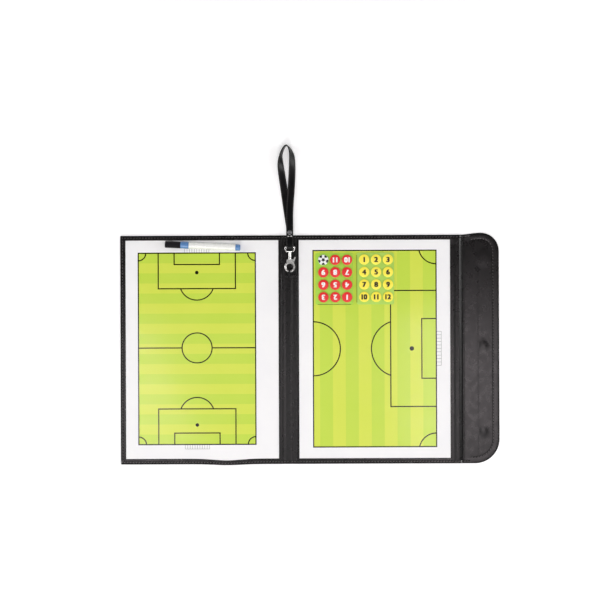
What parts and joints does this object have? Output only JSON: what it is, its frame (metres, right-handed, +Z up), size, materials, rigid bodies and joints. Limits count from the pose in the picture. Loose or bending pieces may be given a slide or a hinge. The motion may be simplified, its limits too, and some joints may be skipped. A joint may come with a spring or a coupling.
{
  "type": "tactics board",
  "caption": "Folding leather coach folder, open flat, with printed football pitches, magnetic number tokens, a marker pen, a closing flap and a wrist strap on a swivel clasp.",
  "frame": {"origin": "on the table under the middle of the open board, without its wrist strap", "axes": "+X along the open width towards the flap, +Y up the pitches towards the strap, +Z up"},
  "size_m": [0.53, 0.4468, 0.0121],
  "materials": {
    "black_leather": "grained matt",
    "lining_leather": "soft matt",
    "board_core": "plain",
    "steel": "plain",
    "pitch_print": "wipe-clean gloss",
    "magnet": "plain",
    "clasp_metal": "polished",
    "strap_leather": "smooth matt",
    "pen_white": "gloss",
    "pen_blue": "gloss",
    "pen_felt": "felt",
    "sheet_green": "matt",
    "token_red": "satin",
    "token_yellow": "satin",
    "token_white": "satin"
  },
  "bodies": {
    "right_panel": {"right_cover": "black_leather", "right_stiffener": "board_core", "right_steel_sheet": "steel", "right_pitch_board": "pitch_print", "right_border": "black_leather"},
    "spine": {"spine_cover": "black_leather", "spine_lining": "lining_leather", "hook_tab": "strap_leather"},
    "left_panel": {"left_cover": "black_leather", "left_stiffener": "board_core", "left_steel_sheet": "steel", "left_pitch_board": "pitch_print", "left_border": "black_leather"},
    "gusset": {"gusset_cover": "black_leather", "gusset_lining": "lining_leather"},
    "flap": {"flap_cover": "black_leather", "flap_lining": "lining_leather", "flap_magnets": "magnet"},
    "hook": {"hook_body": "clasp_metal", "gate_pin": "clasp_metal", "gate_spring": "clasp_metal"},
    "gate": {"gate_lever": "clasp_metal"},
    "eye": {"swivel_eye": "clasp_metal"},
    "strap": {"strap_fold": "strap_leather", "strap_loop": "strap_leather", "strap_rivets": "clasp_metal"},
    "pen": {"pen_barrel": "pen_white", "pen_end_plug": "pen_blue", "pen_reservoir": "pen_felt", "pen_nib": "pen_felt"},
    "pen_cap": {"pen_cap": "pen_blue", "pen_eraser": "pen_felt"},
    "red_sheet": {"token_sheet_red": "sheet_green"},
    "yellow_sheet": {"token_sheet_yellow": "sheet_green"},
    "token_red_01": {"token_red_01": "token_red"},
    "token_red_02": {"token_red_02": "token_red"},
    "token_red_03": {"token_red_03": "token_red"},
    "token_red_04": {"token_red_04": "token_red"},
    "token_red_05": {"token_red_05": "token_red"},
    "token_red_06": {"token_red_06": "token_red"},
    "token_red_07": {"token_red_07": "token_red"},
    "token_red_08": {"token_red_08": "token_red"},
    "token_red_09": {"token_red_09": "token_red"},
    "token_red_10": {"token_red_10": "token_red"},
    "token_red_11": {"token_red_11": "token_red"},
    "token_ball": {"token_ball": "token_white"},
    "token_yellow_01": {"token_yellow_01": "token_yellow"},
    "token_yellow_02": {"token_yellow_02": "token_yellow"},
    "token_yellow_03": {"token_yellow_03": "token_yellow"},
    "token_yellow_04": {"token_yellow_04": "token_yellow"},
    "token_yellow_05": {"token_yellow_05": "token_yellow"},
    "token_yellow_06": {"token_yellow_06": "token_yellow"},
    "token_yellow_07": {"token_yellow_07": "token_yellow"},
    "token_yellow_08": {"token_yellow_08": "token_yellow"},
    "token_yellow_09": {"token_yellow_09": "token_yellow"},
    "token_yellow_10": {"token_yellow_10": "token_yellow"},
    "token_yellow_11": {"token_yellow_11": "token_yellow"},
    "token_yellow_12": {"token_yellow_12": "token_yellow"}
  },
  "joints": [
    {"name": "cover_fold_right", "type": "hinge", "parent": "right_panel", "child": "spine", "pos_m": [-0.017, 0, 0.0015], "axis": [0, 1, 0], "range_deg": [0, 90]},
    {"name": "cover_fold_left", "type": "hinge", "parent": "spine", "child": "left_panel", "pos_m": [-0.038, 0, 0.0015], "axis": [0, 1, 0], "range_deg": [0, 90]},
    {"name": "flap_fold", "type": "hinge", "parent": "right_panel", "child": "gusset", "pos_m": [0.213, 0, 0.0015], "axis": [0, -1, 0], "range_deg": [0, 90]},
    {"name": "flap_wrap", "type": "hinge", "parent": "gusset", "child": "flap", "pos_m": [0.2365, 0, 0.0015], "axis": [0, -1, 0], "range_deg": [0, 90]},
    {"name": "hook_swing", "type": "hinge", "parent": "spine", "child": "hook", "pos_m": [-0.0275, 0.1095, 0.0052], "axis": [1, 0, 0], "range_deg": [0, 25]},
    {"name": "gate_press", "type": "hinge", "parent": "hook", "child": "gate", "pos_m": [-0.02368, 0.12059, 0.0052], "axis": [0, 0, 1], "range_deg": [-12, 0], "stiffness_Nm_per_rad": 0.02},
    {"name": "eye_swivel", "type": "hinge", "parent": "hook", "child": "eye", "pos_m": [-0.0275, 0.1288, 0.0052], "axis": [0, 1, 0], "range_deg": [-8, 8]},
    {"name": "strap_swing", "type": "hinge", "parent": "eye", "child": "strap", "pos_m": [-0.0275, 0.1433, 0.0052], "axis": [-1, 0, 0], "range_deg": [-110, 0]},
    {"name": "pen_lift", "type": "slide", "parent": "left_panel", "child": "pen", "axis": [0, 0, -1], "range_m": [-0.02, 0]},
    {"name": "cap_pull", "type": "slide", "parent": "pen", "child": "pen_cap", "axis": [-0.9988, 0.0488, 0], "range_m": [0, 0.025]},
    {"name": "red_sheet_lift", "type": "slide", "parent": "right_panel", "child": "red_sheet", "axis": [0, 0, -1], "range_m": [-0.012, 0]},
    {"name": "yellow_sheet_lift", "type": "slide", "parent": "right_panel", "child": "yellow_sheet", "axis": [0, 0, -1], "range_m": [-0.012, 0]},
    {"name": "token_red_01_lift", "type": "slide", "parent": "red_sheet", "child": "token_red_01", "axis": [0, 0, -1], "range_m": [-0.008, 0]},
    {"name": "token_red_02_lift", "type": "slide", "parent": "red_sheet", "child": "token_red_02", "axis": [0, 0, -1], "range_m": [-0.008, 0]},
    {"name": "token_red_03_lift", "type": "slide", "parent": "red_sheet", "child": "token_red_03", "axis": [0, 0, -1], "range_m": [-0.008, 0]},
    {"name": "token_red_04_lift", "type": "slide", "parent": "red_sheet", "child": "token_red_04", "axis": [0, 0, -1], "range_m": [-0.008, 0]},
    {"name": "token_red_05_lift", "type": "slide", "parent": "red_sheet", "child": "token_red_05", "axis": [0, 0, -1], "range_m": [-0.008, 0]},
    {"name": "token_red_06_lift", "type": "slide", "parent": "red_sheet", "child": "token_red_06", "axis": [0, 0, -1], "range_m": [-0.008, 0]},
    {"name": "token_red_07_lift", "type": "slide", "parent": "red_sheet", "child": "token_red_07", "axis": [0, 0, -1], "range_m": [-0.008, 0]},
    {"name": "token_red_08_lift", "type": "slide", "parent": "red_sheet", "child": "token_red_08", "axis": [0, 0, -1], "range_m": [-0.008, 0]},
    {"name": "token_red_09_lift", "type": "slide", "parent": "red_sheet", "child": "token_red_09", "axis": [0, 0, -1], "range_m": [-0.008, 0]},
    {"name": "token_red_10_lift", "type": "slide", "parent": "red_sheet", "child": "token_red_10", "axis": [0, 0, -1], "range_m": [-0.008, 0]},
    {"name": "token_red_11_lift", "type": "slide", "parent": "red_sheet", "child": "token_red_11", "axis": [0, 0, -1], "range_m": [-0.008, 0]},
    {"name": "token_ball_lift", "type": "slide", "parent": "red_sheet", "child": "token_ball", "axis": [0, 0, -1], "range_m": [-0.008, 0]},
    {"name": "token_yellow_01_lift", "type": "slide", "parent": "yellow_sheet", "child": "token_yellow_01", "axis": [0, 0, -1], "range_m": [-0.008, 0]},
    {"name": "token_yellow_02_lift", "type": "slide", "parent": "yellow_sheet", "child": "token_yellow_02", "axis": [0, 0, -1], "range_m": [-0.008, 0]},
    {"name": "token_yellow_03_lift", "type": "slide", "parent": "yellow_sheet", "child": "token_yellow_03", "axis": [0, 0, -1], "range_m": [-0.008, 0]},
    {"name": "token_yellow_04_lift", "type": "slide", "parent": "yellow_sheet", "child": "token_yellow_04", "axis": [0, 0, -1], "range_m": [-0.008, 0]},
    {"name": "token_yellow_05_lift", "type": "slide", "parent": "yellow_sheet", "child": "token_yellow_05", "axis": [0, 0, -1], "range_m": [-0.008, 0]},
    {"name": "token_yellow_06_lift", "type": "slide", "parent": "yellow_sheet", "child": "token_yellow_06", "axis": [0, 0, -1], "range_m": [-0.008, 0]},
    {"name": "token_yellow_07_lift", "type": "slide", "parent": "yellow_sheet", "child": "token_yellow_07", "axis": [0, 0, -1], "range_m": [-0.008, 0]},
    {"name": "token_yellow_08_lift", "type": "slide", "parent": "yellow_sheet", "child": "token_yellow_08", "axis": [0, 0, -1], "range_m": [-0.008, 0]},
    {"name": "token_yellow_09_lift", "type": "slide", "parent": "yellow_sheet", "child": "token_yellow_09", "axis": [0, 0, -1], "range_m": [-0.008, 0]},
    {"name": "token_yellow_10_lift", "type": "slide", "parent": "yellow_sheet", "child": "token_yellow_10", "axis": [0, 0, -1], "range_m": [-0.008, 0]},
    {"name": "token_yellow_11_lift", "type": "slide", "parent": "yellow_sheet", "child": "token_yellow_11", "axis": [0, 0, -1], "range_m": [-0.008, 0]},
    {"name": "token_yellow_12_lift", "type": "slide", "parent": "yellow_sheet", "child": "token_yellow_12", "axis": [0, 0, -1], "range_m": [-0.008, 0]}
  ]
}
